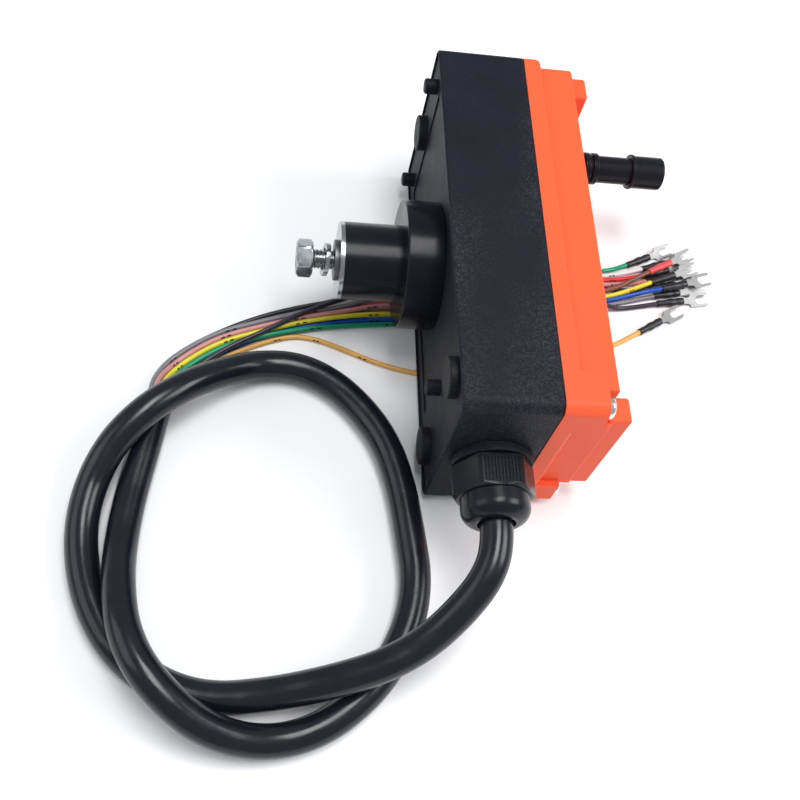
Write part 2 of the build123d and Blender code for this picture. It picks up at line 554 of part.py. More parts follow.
def fork(colour):
    """Crimp barrel inside the sleeve, short neck, then a flat two-pronged fork."""
    barrel = Pos(CRIMP_LEN / 2, 0, 0) * Rot(0, 90, 0) * Cylinder(CRIMP_R, CRIMP_LEN)
    x0, x1 = CRIMP_LEN - 0.5, CRIMP_LEN + 1.2
    neck = Pos((x0 + x1) / 2, 0, 0) * Box(x1 - x0, 2.4, FORK_T)
    plate = Pos(CRIMP_LEN + 1.0 + FORK_LEN / 2, 0, 0) * Box(FORK_LEN, FORK_W, FORK_T)
    plate = chamfer(plate.edges().filter_by(Axis.Z), 1.5)
    reach = CRIMP_LEN + 1.0 + FORK_LEN
    slot = Pos(reach - 3.5, 0, 0) * Box(7.4, FORK_GAP, 2) + Pos(reach - 7.0, 0, 0) * Cylinder(FORK_GAP / 2, 2)
    return at_end(colour, CORE_IN, FORK_ROLL[colour]) * (barrel + neck + plate - slot)


# inner ends of the cores: where each leaves the cable, sorted across the terminal block
def inner_leads():
    starts = [(3.4 * math.cos(math.radians(22.5 + 45 * k)), 3.4 * math.sin(math.radians(22.5 + 45 * k)))
              for k in range(8)]
    starts += [(1.24 * math.cos(math.radians(90 + 120 * k)), 1.24 * math.sin(math.radians(90 + 120 * k)))
               for k in range(3)]
    starts.sort(key=lambda p: (round(p[1], 3), p[0]))
    leads = []
    for k, (dx, z) in enumerate(starts):
        fan = (GL_X - 1.5 + 0.3 * dx, -61.5, way_z(k) * 0.93)
        points = [(GL_X + dx, TAIL_Y1, z), (GL_X + 1.3 * dx, TAIL_Y1 + 4.5, 1.5 * z + 0.02 * (k - 5)), fan,
                  (52.6, -56.8, way_z(k)), (52.6, -51.0, way_z(k))]
        leads.append(tube(points, 0.9))
    return group(leads)


CORE_IN = 7.0
FORK_ROLL = {"violet": 24, "grey": 24, "black": 24, "pink": 24, "red": 24, "white": 24, "green": 28,
             "blue": 12, "yellow": 16, "brown": 16, "orange": 10}

save("housing_shell", housing_shell())
save("rear_pads", rear_pads())
save("cover_gasket", cover_gasket())
save("front_cover", front_cover())
save("cover_screws", cover_screws())
save("mount_collar", mount_collar())
save("rubber_damper", rubber_damper())
save("damper_end_plate", damper_end_plate())
save("damper_stud", damper_stud())
save("damper_nut", damper_nut())
save("flat_washer", flat_washer())
save("spring_washer", spring_washer())
save("mounting_bolt", mounting_bolt())
save("gland_body", gland_body())
save("gland_oring", gland_oring())
save("gland_locknut", gland_locknut())
save("gland_cap_nut", gland_cap_nut())
save("gland_seal", gland_seal())
save("cable_tail", cable_tail())
save("antenna_socket", antenna_socket())
save("antenna_nut", antenna_nut())
save("antenna_boot", antenna_boot())
save("antenna_shaft", antenna_shaft())
save("antenna_cap", antenna_cap())
save("antenna_mast", antenna_mast())
save("antenna_lead", antenna_lead())
save("antenna_plug", antenna_plug())
save("main_board", main_board())
save("board_screws", board_screws())
save("terminal_block", terminal_block())
save("terminal_screws", terminal_screws())
save("relays", relays())
save("power_transformer", power_transformer())
save("radio_module", radio_module())
save("fuse_clips", fuse_clips())
save("fuses", fuses())
save("capacitors", capacitors())
save("controller_chip", controller_chip())
save("signal_leds", signal_leds())
save("inner_leads", inner_leads())
save("cable_sheath", tube(SHEATH, CABLE_R))
for name in ENDS:
    save(f"core_{name}", tube(core_route(name), CORE_R))
save("black_sleeves", group(sleeve(c) for c in ENDS if c != "brown"))
save("red_sleeve", sleeve("brown"))
save("fork_terminals", group(fork(c) for c in ENDS))
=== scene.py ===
import json
import math

import bmesh
import bpy
from mathutils import Matrix, Vector


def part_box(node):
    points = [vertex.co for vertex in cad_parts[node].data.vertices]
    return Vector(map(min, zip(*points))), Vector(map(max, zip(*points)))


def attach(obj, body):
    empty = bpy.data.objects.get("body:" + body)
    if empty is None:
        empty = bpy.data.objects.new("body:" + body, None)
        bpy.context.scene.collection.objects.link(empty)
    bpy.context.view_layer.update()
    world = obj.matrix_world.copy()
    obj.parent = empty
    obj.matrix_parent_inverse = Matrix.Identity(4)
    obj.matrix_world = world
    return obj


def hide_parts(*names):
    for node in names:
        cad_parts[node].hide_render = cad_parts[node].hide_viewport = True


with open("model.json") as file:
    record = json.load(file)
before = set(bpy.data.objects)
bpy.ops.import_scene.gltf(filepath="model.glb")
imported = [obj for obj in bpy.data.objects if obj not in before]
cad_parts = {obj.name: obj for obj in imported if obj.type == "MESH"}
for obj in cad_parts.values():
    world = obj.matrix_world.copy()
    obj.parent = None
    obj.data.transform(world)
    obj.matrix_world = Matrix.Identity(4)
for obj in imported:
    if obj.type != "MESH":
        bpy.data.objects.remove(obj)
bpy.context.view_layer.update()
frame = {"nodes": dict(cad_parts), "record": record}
MM = 0.001

SHEATH_R, CORE_R = 6.0, 1.05
TABLE_TOP = -41.2

# The radio receiver of a crane remote control lies on its long side on a pale table, with its cable
# in one loose loop in front of it and the cable's cores passing under the case. Sizes are in mm.


# ---------------------------------------------------------------- materials

def new_material(name, color, roughness, **sockets):
    """Principled material; constant values go straight on the shader's own sockets."""
    mat = bpy.data.materials.new(name)
    mat.use_nodes = True
    shader = mat.node_tree.nodes["Principled BSDF"]
    shader.inputs["Base Color"].default_value = (*color, 1)
    shader.inputs["Roughness"].default_value = roughness
    for socket, value in sockets.items():
        shader.inputs[socket.replace("_", " ")].default_value = value
    return mat, shader


def noise(mat, scale, detail=3.0, stretch=(1, 1, 1), rough=0.5):
    """Noise over the piece's own coordinates, stretched along its axes."""
    nodes, links = mat.node_tree.nodes, mat.node_tree.links
    coord = nodes.new("ShaderNodeTexCoord")
    mapping = nodes.new("ShaderNodeMapping")
    mapping.inputs["Scale"].default_value = stretch
    tex = nodes.new("ShaderNodeTexNoise")
    tex.inputs["Scale"].default_value = scale
    tex.inputs["Detail"].default_value = detail
    tex.inputs["Roughness"].default_value = rough
    links.new(coord.outputs["Object"], mapping.inputs["Vector"])
    links.new(mapping.outputs["Vector"], tex.inputs["Vector"])
    return tex.outputs["Fac"]


def ramp(mat, value, stops):
    """Colour ramp over value: stops are (position, colour)."""
    node = mat.node_tree.nodes.new("ShaderNodeValToRGB")
    elements = node.color_ramp.elements
    while len(elements) < len(stops):
        elements.new(0.5)
    for element, (position, color) in zip(elements, stops):
        element.position = position
        element.color = (*color, 1)
    mat.node_tree.links.new(value, node.inputs["Fac"])
    return node.outputs["Color"]


def spread(mat, value, low, high):
    """The middle of a noise's range, mapped to low..high."""
    node = mat.node_tree.nodes.new("ShaderNodeMapRange")
    node.inputs["From Min"].default_value = 0.3
    node.inputs["From Max"].default_value = 0.7
    node.inputs["To Min"].default_value = low
    node.inputs["To Max"].default_value = high
    mat.node_tree.links.new(value, node.inputs["Value"])
    return node.outputs["Result"]


def bump(mat, shader, height, distance):
    node = mat.node_tree.nodes.new("ShaderNodeBump")
    node.inputs["Distance"].default_value = distance
    node.inputs["Strength"].default_value = 0.5
    mat.node_tree.links.new(height, node.inputs["Height"])
    mat.node_tree.links.new(node.outputs["Normal"], shader.inputs["Normal"])


def multiply(mat, a, b):
    node = mat.node_tree.nodes.new("ShaderNodeMath")
    node.operation = "MULTIPLY"
    mat.node_tree.links.new(a, node.inputs[0])
    mat.node_tree.links.new(b, node.inputs[1])
    return node.outputs[0]


def blend(mat, factor, tone, color):
    """The tone, replaced by one plain colour where factor is 1."""
    node = mat.node_tree.nodes.new("ShaderNodeMix")
    node.data_type = "RGBA"
    mat.node_tree.links.new(factor, node.inputs["Factor"])
    mat.node_tree.links.new(tone, node.inputs["A"])
    node.inputs["B"].default_value = (*color, 1)
    return node.outputs["Result"]


def dashes(mat, source, times, offset, width):
    """1 on the first part, width, of each of the equal steps along source, and 0 on the rest."""
    nodes, links = mat.node_tree.nodes, mat.node_tree.links
    scaled = nodes.new("ShaderNodeMath")
    scaled.operation = "MULTIPLY_ADD"
    scaled.inputs[1].default_value = times
    scaled.inputs[2].default_value = offset
    links.new(source, scaled.inputs[0])
    part = nodes.new("ShaderNodeMath")
    part.operation = "FRACT"
    links.new(scaled.outputs[0], part.inputs[0])
    less = nodes.new("ShaderNodeMath")
    less.operation = "LESS_THAN"
    less.inputs[1].default_value = width
    links.new(part.outputs[0], less.inputs[0])
    return less.outputs[0]


def shade(color, factor):
    return tuple(min(1.0, c * factor) for c in color)


WEAR_SCALE, SPECK_SCALE = 24, 1350      # rubbed areas, and the specks that make them up


def moulded(name, color, roughness, grain=1400, depth=0.00008, rub=1.5, patch=0.15, **sockets):
    """Moulded plastic: fine spark grain, patchy sheen, and lighter specks where it has been rubbed."""
    mat, shader = new_material(name, color, roughness, **sockets)
    patches = noise(mat, 45, 8, rough=0.65)
    worn = ramp(mat, noise(mat, WEAR_SCALE, 3, stretch=(1, 0.5, 1)),
                [(0.44, (0.12, 0.12, 0.12)), (0.62, (1, 1, 1))])
    specks = ramp(mat, noise(mat, SPECK_SCALE, 3), [(0.44, (0, 0, 0)), (0.66, (1, 1, 1))])
    marks = multiply(mat, worn, specks)
    tone = ramp(mat, patches, [(0.3, shade(color, 1 - patch)), (0.7, shade(color, 1 + patch))])
    rubbed = shade(color, rub)
    grey = sum(rubbed) / 3
    if rub > 1.2:
        rubbed = tuple((c + 2 * grey) / 3 for c in rubbed)
    mat.node_tree.links.new(blend(mat, marks, tone, rubbed), shader.inputs["Base Color"])
    rough = spread(mat, patches, roughness - 0.05, roughness + 0.06)
    mat.node_tree.links.new(rough, shader.inputs["Roughness"])
    bump(mat, shader, noise(mat, grain, 2), depth)
    return mat


def metal(name, color, roughness, brush=(1, 1, 1), scale=900, depth=0.00002):
    """Plated metal with a little tarnish and fine brushing along one direction."""
    mat, shader = new_material(name, color, roughness, Metallic=1.0)
    tarnish = noise(mat, 260, 5)
    mat.node_tree.links.new(ramp(mat, tarnish, [(0.3, shade(color, 0.9)), (0.7, color)]),
                            shader.inputs["Base Color"])
    mat.node_tree.links.new(spread(mat, tarnish, roughness - 0.03, roughness + 0.05),
                            shader.inputs["Roughness"])
    bump(mat, shader, noise(mat, scale, 3, stretch=brush), depth)
    return mat


INK = (0.01, 0.01, 0.012)


def pvc(name, color, roughness=0.3, ticks=False, repeats=8, **sockets):
    """Extruded PVC: faint drawn waviness; ticks adds short printed dashes along the length."""
    mat, shader = new_material(name, color, roughness, **sockets)
    links = mat.node_tree.links
    soft = noise(mat, 120, 3)
    tone = ramp(mat, soft, [(0.3, shade(color, 0.92)), (0.7, shade(color, 1.08))])
    if ticks:
        coord = mat.node_tree.nodes.new("ShaderNodeTexCoord")
        parts = mat.node_tree.nodes.new("ShaderNodeSeparateXYZ")
        links.new(coord.outputs["UV"], parts.inputs["Vector"])
        along, around = parts.outputs["X"], parts.outputs["Y"]
        groups = dashes(mat, along, repeats, 0.2, 0.2)
        groups = multiply(mat, groups, dashes(mat, along, repeats * 11, 0, 0.62))
        printed = multiply(mat, groups, dashes(mat, around, 3, 0.1, 0.3))
        tone = blend(mat, printed, tone, INK)
    links.new(tone, shader.inputs["Base Color"])
    links.new(spread(mat, soft, roughness - 0.05, roughness + 0.07), shader.inputs["Roughness"])
    bump(mat, shader, noise(mat, 300, 2), 0.00006)
    return mat


CORE_COLOR = {
    "black": (0.012, 0.012, 0.015), "green": (0.0, 0.3, 0.15), "yellow": (0.72, 0.66, 0.03),
    "brown": (0.19, 0.065, 0.045), "white": (0.72, 0.72, 0.74), "violet": (0.028, 0.02, 0.04),
    "orange": (0.74, 0.40, 0.09), "grey": (0.2, 0.2, 0.215), "blue": (0.008, 0.075, 0.45),
    "pink": (0.6, 0.26, 0.26), "red": (0.68, 0.03, 0.025),
}
MATERIALS = {
    "black_case": moulded("black_case", (0.008, 0.0095, 0.0165), 0.55, rub=3.2, Specular_IOR_Level=0.15),
    "orange_cover": moulded("orange_cover", (0.96, 0.112, 0.038), 0.45, grain=1100, depth=0.00004,
                            rub=1.0, patch=0.03, Specular_IOR_Level=0.2),
    "black_rubber": moulded("black_rubber", (0.007, 0.008, 0.0125), 0.24, grain=500, depth=0.00001,
                            rub=1.4, Specular_IOR_Level=0.17),
    "pad_rubber": moulded("pad_rubber", (0.009, 0.010, 0.015), 0.55, grain=700, Specular_IOR_Level=0.2),
    "gasket": moulded("gasket", (0.006, 0.006, 0.006), 0.7, grain=900),
    "nylon": moulded("nylon", (0.007, 0.0085, 0.0135), 0.48, grain=900, depth=0.00003,
                     Specular_IOR_Level=0.17),
    "nylon_gloss": moulded("nylon_gloss", (0.006, 0.0075, 0.012), 0.25, grain=600, depth=0.00002,
                           rub=1.3, Specular_IOR_Level=0.27),
    "terminal_green": moulded("terminal_green", (0.03, 0.3, 0.1), 0.5),
    "relay_case": moulded("relay_case", (0.02, 0.03, 0.06), 0.35),
    "zinc": metal("zinc", (0.42, 0.445, 0.47), 0.2, brush=(0.1, 1, 1)),
    "dark_steel": metal("dark_steel", (0.2, 0.2, 0.21), 0.42),
    "bright_screw": metal("bright_screw", (0.85, 0.85, 0.84), 0.16),
    "tin": metal("tin", (0.30, 0.30, 0.30), 0.46, brush=(0.3, 1, 1)),
    "shield": metal("shield", (0.74, 0.74, 0.72), 0.3),
    "brass": metal("brass", (0.78, 0.56, 0.25), 0.3),
    "laminated": metal("laminated", (0.12, 0.12, 0.12), 0.5, brush=(1, 8, 1)),
    "can": pvc("can", (0.02, 0.03, 0.09)),
    "sheath": pvc("sheath", (0.007, 0.0085, 0.013), 0.22, Specular_IOR_Level=0.38),
    "sleeve_black": pvc("sleeve_black", (0.012, 0.013, 0.016), 0.36),
    "sleeve_red": pvc("sleeve_red", (0.72, 0.07, 0.085), 0.4),
    "lead_wire": pvc("lead_wire", (0.35, 0.35, 0.36)),
    "led_lens": pvc("led_lens", (0.5, 0.03, 0.02), 0.15),
    "board": pvc("board", (0.01, 0.13, 0.05), 0.35),
    "fuse_glass": pvc("fuse_glass", (0.8, 0.84, 0.82), 0.08, Transmission_Weight=0.7, IOR=1.5),
}
for colour, value in CORE_COLOR.items():
    MATERIALS["core_" + colour] = pvc("core_" + colour, value, 0.32, ticks=colour != "black", repeats=9)


def paint(obj, slot):
    """The slot's material, in place of any the object came with."""
    obj.data.materials.clear()
    obj.data.materials.append(MATERIALS[slot])


def soften(obj, width):
    """Welds a carried-over part's faces and rounds its sharp edges so that they catch the light."""
    weld = obj.modifiers.new("weld", "WELD")
    weld.merge_threshold = 0.000002
    bevel = obj.modifiers.new("bevel", "BEVEL")
    bevel.width = width * MM
    bevel.segments = 2
    bevel.limit_method = "ANGLE"
    bevel.angle_limit = math.radians(40)
    bevel.harden_normals = False
    normal = obj.modifiers.new("normals", "WEIGHTED_NORMAL")
    normal.keep_sharp = False


# width in mm of the rounded edges of carried-over parts
EDGE = {"housing_shell": 0.35, "front_cover": 0.4, "gland_cap_nut": 0.2, "gland_body": 0.3,
        "rear_pads": 0.2, "mount_collar": 0.3, "damper_end_plate": 0.15, "flat_washer": 0.15,
        "spring_washer": 0.15}
for entry in frame["record"]["subparts"]:
    node = frame["nodes"][entry["node"]]
    paint(node, "pad_rubber" if entry["node"] == "rear_pads" else entry["material_slot"])
    if entry["node"] in EDGE:
        soften(node, EDGE[entry["node"]])


# ---------------------------------------------------------------- cords

# cable from the gland mouth, down to the table, once round and back under itself
SHEATH = [
    (55.5, -105.5, 0), (55.5, -116.5, 0), (51.6, -127.7, -3.0), (43.0, -137.5, -9.5), (32.0, -146.5, -16.2),
    (18.0, -153.5, -20.6), (0.0, -158.0, -25.2), (-20.0, -160.5, -32.8), (-42.0, -162.0, -35.2),
    (-60.5, -156.0, -35.2), (-75.5, -143.5, -35.2), (-85.8, -125.0, -35.2), (-90.5, -103.5, -35.2),
    (-88.5, -84.5, -33.0), (-81.0, -69.5, -26.2), (-69.0, -56.8, -22.0), (-55.0, -45.0, -24.0),
    (-41.5, -35.0, -30.6), (-28.0, -28.8, -34.6), (-13.0, -28.5, -35.2), (1.0, -35.0, -35.2),
    (13.0, -46.5, -35.2), (22.5, -61.0, -35.2), (28.0, -79.5, -35.2), (30.8, -99.5, -35.2),
    (33.0, -119.5, -35.2), (28.0, -139.5, -35.2), (15.5, -158.5, -35.2), (-3.0, -172.5, -35.2),
    (-23.0, -177.0, -34.0), (-43.0, -173.0, -27.0), (-60.0, -159.5, -21.4), (-69.8, -144.5, -21.6),
    (-74.0, -127.0, -25.6), (-75.6, -108.0, -34.0), (-74.0, -88.0, -35.2), (-70.0, -66.0, -35.2),
    (-67.0, -46.9, -35.2),
]

TABLE_Z = -40.15        # centre height of a core lying on the table
UPPER_Z = -38.0         # a core lying on the ones below
OVER_Z = -35.75         # a core crossing over both layers

# places along the bundle: centre x, y and heading in degrees from +x towards +y
BUNDLE = [
    (-67.0, -46.9, 81.0), (-66.0, -40.0, 78.0), (-62.0, -31.5, 58.0), (-54.0, -24.0, 41.0),
    (-43.0, -16.5, 33.0), (-28.0, -8.5, 24.0), (-12.0, -2.5, 17.0), (5.0, 2.0, 12.0),
    (21.0, 5.5, 11.0), (35.0, 8.5, 9.0),
]
# how far each core lies to the left of the bundle's centre, and its height, at each place
SPREAD = {
    "orange": [(-3.14, -36.5), (-4.9, -38.4), (-5.75, TABLE_Z), (-5.75, TABLE_Z), (-5.75, TABLE_Z)],
    "blue": [(-1.3, -38.34), (-2.5, -39.3), (-3.45, TABLE_Z), (-3.45, TABLE_Z), (-3.45, TABLE_Z),
             (-3.45, TABLE_Z), (-4.0, TABLE_Z), (-4.6, TABLE_Z), (-6.2, TABLE_Z), (-8.05, TABLE_Z)],
    "brown": [(-1.07, -35.82), (-1.0, -37.0), (-1.15, TABLE_Z), (-1.15, TABLE_Z), (-1.15, TABLE_Z),
              (-1.15, TABLE_Z), (-1.7, TABLE_Z), (-2.3, TABLE_Z), (-2.1, TABLE_Z), (-3.45, TABLE_Z)],
    "red": [(1.3, -38.34), (0.6, -39.4), (1.15, TABLE_Z), (1.15, TABLE_Z), (1.15, TABLE_Z),
              (1.15, TABLE_Z), (0.6, TABLE_Z), (0.0, TABLE_Z), (2.0, TABLE_Z), (1.15, TABLE_Z)],
    "white": [(1.07, -35.82), (2.5, -37.7), (3.45, TABLE_Z), (3.45, TABLE_Z), (3.45, TABLE_Z),
            (3.45, TABLE_Z), (2.9, TABLE_Z), (2.3, TABLE_Z), (6.2, TABLE_Z), (5.75, TABLE_Z)],
    "black": [(3.2, -36.55), (5.0, -38.4), (5.75, TABLE_Z), (5.75, TABLE_Z), (5.75, TABLE_Z),
              (5.75, TABLE_Z), (5.75, TABLE_Z), (5.75, TABLE_Z), (10.5, TABLE_Z), (10.35, TABLE_Z)],
    "violet": [(-3.14, -33.9), (-3.9, -35.4), (-4.6, UPPER_Z), (-4.6, UPPER_Z), (-4.3, -36.2),
               (-3.9, OVER_Z), (0.2, OVER_Z), (3.6, -35.9), (8.3, -38.6), (8.05, TABLE_Z)],
    "green": [(-1.3, -32.06), (-1.8, -34.4), (-2.3, UPPER_Z), (-2.3, UPPER_Z), (-2.3, UPPER_Z),
              (-4.6, UPPER_Z), (-5.9, -38.7), (-6.9, TABLE_Z), (-8.6, TABLE_Z), (-10.35, TABLE_Z)],
    "yellow": [(0.0, -33.96), (0.5, -35.3), (0.0, UPPER_Z), (0.0, UPPER_Z), (0.0, UPPER_Z),
               (-2.3, UPPER_Z), (-2.9, UPPER_Z), (-3.45, UPPER_Z), (-4.1, -38.6), (-5.75, TABLE_Z)],
    "pink": [(1.3, -32.06), (2.4, -33.8), (2.3, UPPER_Z), (2.3, UPPER_Z), (2.3, UPPER_Z),
             (0.0, UPPER_Z), (-0.6, UPPER_Z), (-1.15, UPPER_Z), (0.0, -38.6), (-1.15, TABLE_Z)],
    "grey": [(3.14, -33.9), (4.4, -35.2), (4.6, UPPER_Z), (4.6, UPPER_Z), (4.6, UPPER_Z),
             (2.3, UPPER_Z), (1.7, UPPER_Z), (1.15, UPPER_Z), (4.0, -38.6), (3.45, TABLE_Z)],
}

# lanes under the case and in front of the cover: lane 1 is nearest the gland end
LANE, LANE_SLOPE, MIDDLE_LANE = 2.3, 0.147, 5.5
CROSS_Z, HIGH_Z = -37.88, -35.6   # a core crossing over one layer, over two
BED_Z, TOP_Z = -39.4, -35.7       # crimp sleeves on the table, and on the sleeves below
LANES = {
    "blue": [(58, 2, TABLE_Z), (93, 2, TABLE_Z), (106, 3, TABLE_Z), (117, 3.03, TABLE_Z)],
    "yellow": [(58, 3, TABLE_Z), (92, 3, TABLE_Z), (105, 4, TABLE_Z), (117, 4.03, TABLE_Z)],
    "brown": [(58, 4, TABLE_Z), (92, 4, TABLE_Z), (105, 5, TABLE_Z), (117.5, 5.03, TABLE_Z)],
    "pink": [(58, 5, TABLE_Z), (75, 5.05, TABLE_Z), (93.8, 5, TABLE_Z), (103.3, 7, TABLE_Z),
              (115, 7.03, TABLE_Z)],
    "red": [(58, 6, TABLE_Z), (75, 6.05, TABLE_Z), (93.4, 6, TABLE_Z), (102.6, 8, TABLE_Z),
              (115, 8.03, TABLE_Z)],
    "white": [(58, 8, TABLE_Z), (75, 8.05, TABLE_Z), (94, 8, TABLE_Z), (103.5, 9, TABLE_Z),
              (114, 9.03, TABLE_Z)],
    "grey": [(58, 7, TABLE_Z), (72, 7.05, TABLE_Z), (86, 7, TABLE_Z), (93.5, 6.9, CROSS_Z),
             (103, 2.15, CROSS_Z), (110, 2, TABLE_Z)],
    "black": [(58, 10, TABLE_Z), (72, 10.05, TABLE_Z), (86, 10, TABLE_Z), (94, 10, CROSS_Z),
              (105, 6.2, CROSS_Z), (113, 6, TABLE_Z)],
    "green": [(56, 1, TABLE_Z), (72, 1.04, TABLE_Z), (89, 1.02, TABLE_Z), (103, 1, TABLE_Z),
              (111, 1, CROSS_Z), (116.5, 5.1, CROSS_Z), (122.5, 9.8, CROSS_Z)],
    "violet": [(56, 9, TABLE_Z), (75, 9.05, TABLE_Z), (93, 9, TABLE_Z), (102, 10, TABLE_Z),
               (110, 9.9, HIGH_Z), (116.2, 5.6, HIGH_Z), (122.4, 1.4, HIGH_Z)],
}
# last free points before each sleeve, then where the sleeve starts and its heading in degrees
ENDS = {
    "violet": ([(130.5, 12.3, TABLE_Z), (140, 14.1, TABLE_Z)], (150.5, 16.2, BED_Z), 10),
    "grey": ([(127, 14.2, TABLE_Z), (138, 17.2, TABLE_Z)], (149.5, 20.3, BED_Z), 12),
    "black": ([(127, 23.1, TABLE_Z), (138, 22.8, TABLE_Z)], (148.0, 24.2, BED_Z), 15),
    "pink": ([(127, 25.5, TABLE_Z), (137, 26.3, TABLE_Z)], (147.0, 28.0, BED_Z), 17),
    "red": ([(127, 27.8, TABLE_Z), (136.5, 29.3, TABLE_Z)], (146.5, 31.5, BED_Z), 18),
    "white": ([(127, 30.2, TABLE_Z), (136, 32.2, TABLE_Z)], (146.0, 35.0, BED_Z), 20),
    "green": ([(129.8, 33.4, TABLE_Z)], (138.9, 36.7, BED_Z), 26),
    "blue": ([(127, 16.6, TABLE_Z), (137, 18.9, -38.6), (145.5, 20.6, -36.3)], (152.2, 22.0, TOP_Z), 17),
    "yellow": ([(127, 18.8, TABLE_Z), (135.5, 21.0, -38.4), (142, 22.9, -36.4)], (147.5, 25.2, TOP_Z), 23),
    "brown": ([(127.5, 20.9, -37.9), (135.5, 24.4, -37.0), (141.5, 27.8, -36.0)], (147.4, 31.0, TOP_Z), 28),
    "orange": ([(-24.5, -14.1, TABLE_Z), (-14.5, -11.1, TABLE_Z), (-5, -12.2, TABLE_Z),
                (6, -16.3, TABLE_Z), (19, -22.0, TABLE_Z), (37, -26.8, TABLE_Z),
                (58, -27.0, TABLE_Z), (82, -22.5, TABLE_Z), (106, -15.5, TABLE_Z),
                (125, -8.2, TABLE_Z)],
               (139.5, 0.2, BED_Z), 31),
}
CORE_IN = 7.0           # how far a core reaches into its sleeve
# how far each fork is turned about its own length, in degrees
FORK_ROLL = {"violet": 24, "grey": 24, "black": 24, "pink": 24, "red": 24, "white": 24, "green": 28,
             "blue": 12, "yellow": 16, "brown": 16, "orange": 10}


def lane_point(x, lane, z):
    """A point in a lane; the lanes carry on from the bundle's last place."""
    bundle_x, bundle_y, _ = BUNDLE[-1]
    return (x, round(bundle_y + LANE_SLOPE * (x - bundle_x) + LANE * (lane - MIDDLE_LANE), 2), z)


def end_point(start, heading, along):
    """The point so far along the heading from start, at the same height."""
    a = math.radians(heading)
    return (round(start[0] + along * math.cos(a), 2), round(start[1] + along * math.sin(a), 2), start[2])


def core_route(colour):
    """Route of one core from the cut end of the sheath to the barrel of its fork terminal."""
    points = []
    for (x, y, heading), (left, z) in zip(BUNDLE, SPREAD[colour]):
        a = math.radians(heading)
        points.append((round(x - left * math.sin(a), 2), round(y + left * math.cos(a), 2), z))
    points += [lane_point(*p) for p in LANES.get(colour, [])]
    free, start, heading = ENDS[colour]
    return points + free + [start, end_point(start, heading, CORE_IN)]


def spline(name, points, radius, body, slot, node):
    """Round cord through the given route points, as one open NURBS curve."""
    data = bpy.data.curves.new(name, "CURVE")
    data.dimensions = "3D"
    data.resolution_u = 10
    data.bevel_depth = radius * MM
    data.bevel_resolution = 6
    data.use_fill_caps = True
    line = data.splines.new("NURBS")
    line.points.add(len(points) - 1)
    for point, place in zip(line.points, points):
        point.co = (place[0] * MM, place[1] * MM, place[2] * MM, 1)
    line.order_u = 3
    line.use_endpoint_u = True
    obj = bpy.data.objects.new(name, data)
    bpy.context.collection.objects.link(obj)
    data.materials.append(MATERIALS[slot])
    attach(obj, body)
    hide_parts(node)
    return obj


# ---------------------------------------------------------------- meshes made here

def mesh_object(name, verts, faces, body, slot, node, place=None):
    """A piece of its own that rides on a body and stands for one CAD node."""
    mesh = bpy.data.meshes.new(name)
    mesh.from_pydata([tuple(v) for v in verts], [], faces)
    mesh.validate()
    if place is not None:
        mesh.transform(place)
    bm = bmesh.new()
    bm.from_mesh(mesh)
    bmesh.ops.recalc_face_normals(bm, faces=bm.faces)
    bm.to_mesh(mesh)
    bm.free()
    for polygon in mesh.polygons:
        polygon.use_smooth = True
    obj = bpy.data.objects.new(name, mesh)
    bpy.context.collection.objects.link(obj)
    mesh.materials.append(MATERIALS[slot])
    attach(obj, body)
    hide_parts(node)
    return obj


def skin(rows, steps):
    """Faces over rows of points, steps in a row, with a cap on the first and the last."""
    faces = []
    for i in range(rows - 1):
        for k in range(steps):
            a, b = i * steps + k, i * steps + (k + 1) % steps
            faces.append((a, b, b + steps, a + steps))
    faces.append(tuple(range(steps))[::-1])
    faces.append(tuple(range((rows - 1) * steps, rows * steps)))
    return faces


def lathe(profile, steps, squash=None):
    """Verts and faces of a profile of (x, r) in mm turned about x; squash(x) narrows it along z."""
    verts = []
    for x, r in profile:
        flat = squash(x) if squash else 1.0
        for k in range(steps):
            a = 2 * math.pi * k / steps
            verts.append((x * MM, r * math.cos(a) * MM, r * math.sin(a) * flat * MM))
    return verts, skin(len(profile), steps)


def joined(parts):
    verts, faces = [], []
    for v, f in parts:
        start = len(verts)
        verts += v
        faces += [tuple(i + start for i in face) for face in f]
    return verts, faces


def threaded_rod(x0, x1, radius, pitch, depth, steps=36, per_turn=8):
    """A rod along x with a real helical ridge, in mm."""
    verts = []
    rows = int((x1 - x0) / pitch * per_turn)
    for i in range(rows + 1):
        x = x0 + (x1 - x0) * i / rows
        for k in range(steps):
            turn = k / steps
            phase = ((x - x0) / pitch - turn) % 1.0
            ridge = 1 - abs(2 * phase - 1)
            ridge = min(1.0, max(0.0, 1.3 * ridge - 0.1))
            run_out = min(1.0, (x - x0) / pitch, (x1 - x) / pitch)
            r = radius - depth * (1 - ridge * max(0.0, run_out))
            a = 2 * math.pi * turn
            verts.append((x * MM, r * math.cos(a) * MM, r * math.sin(a) * MM))
    return verts, skin(rows + 1, steps)


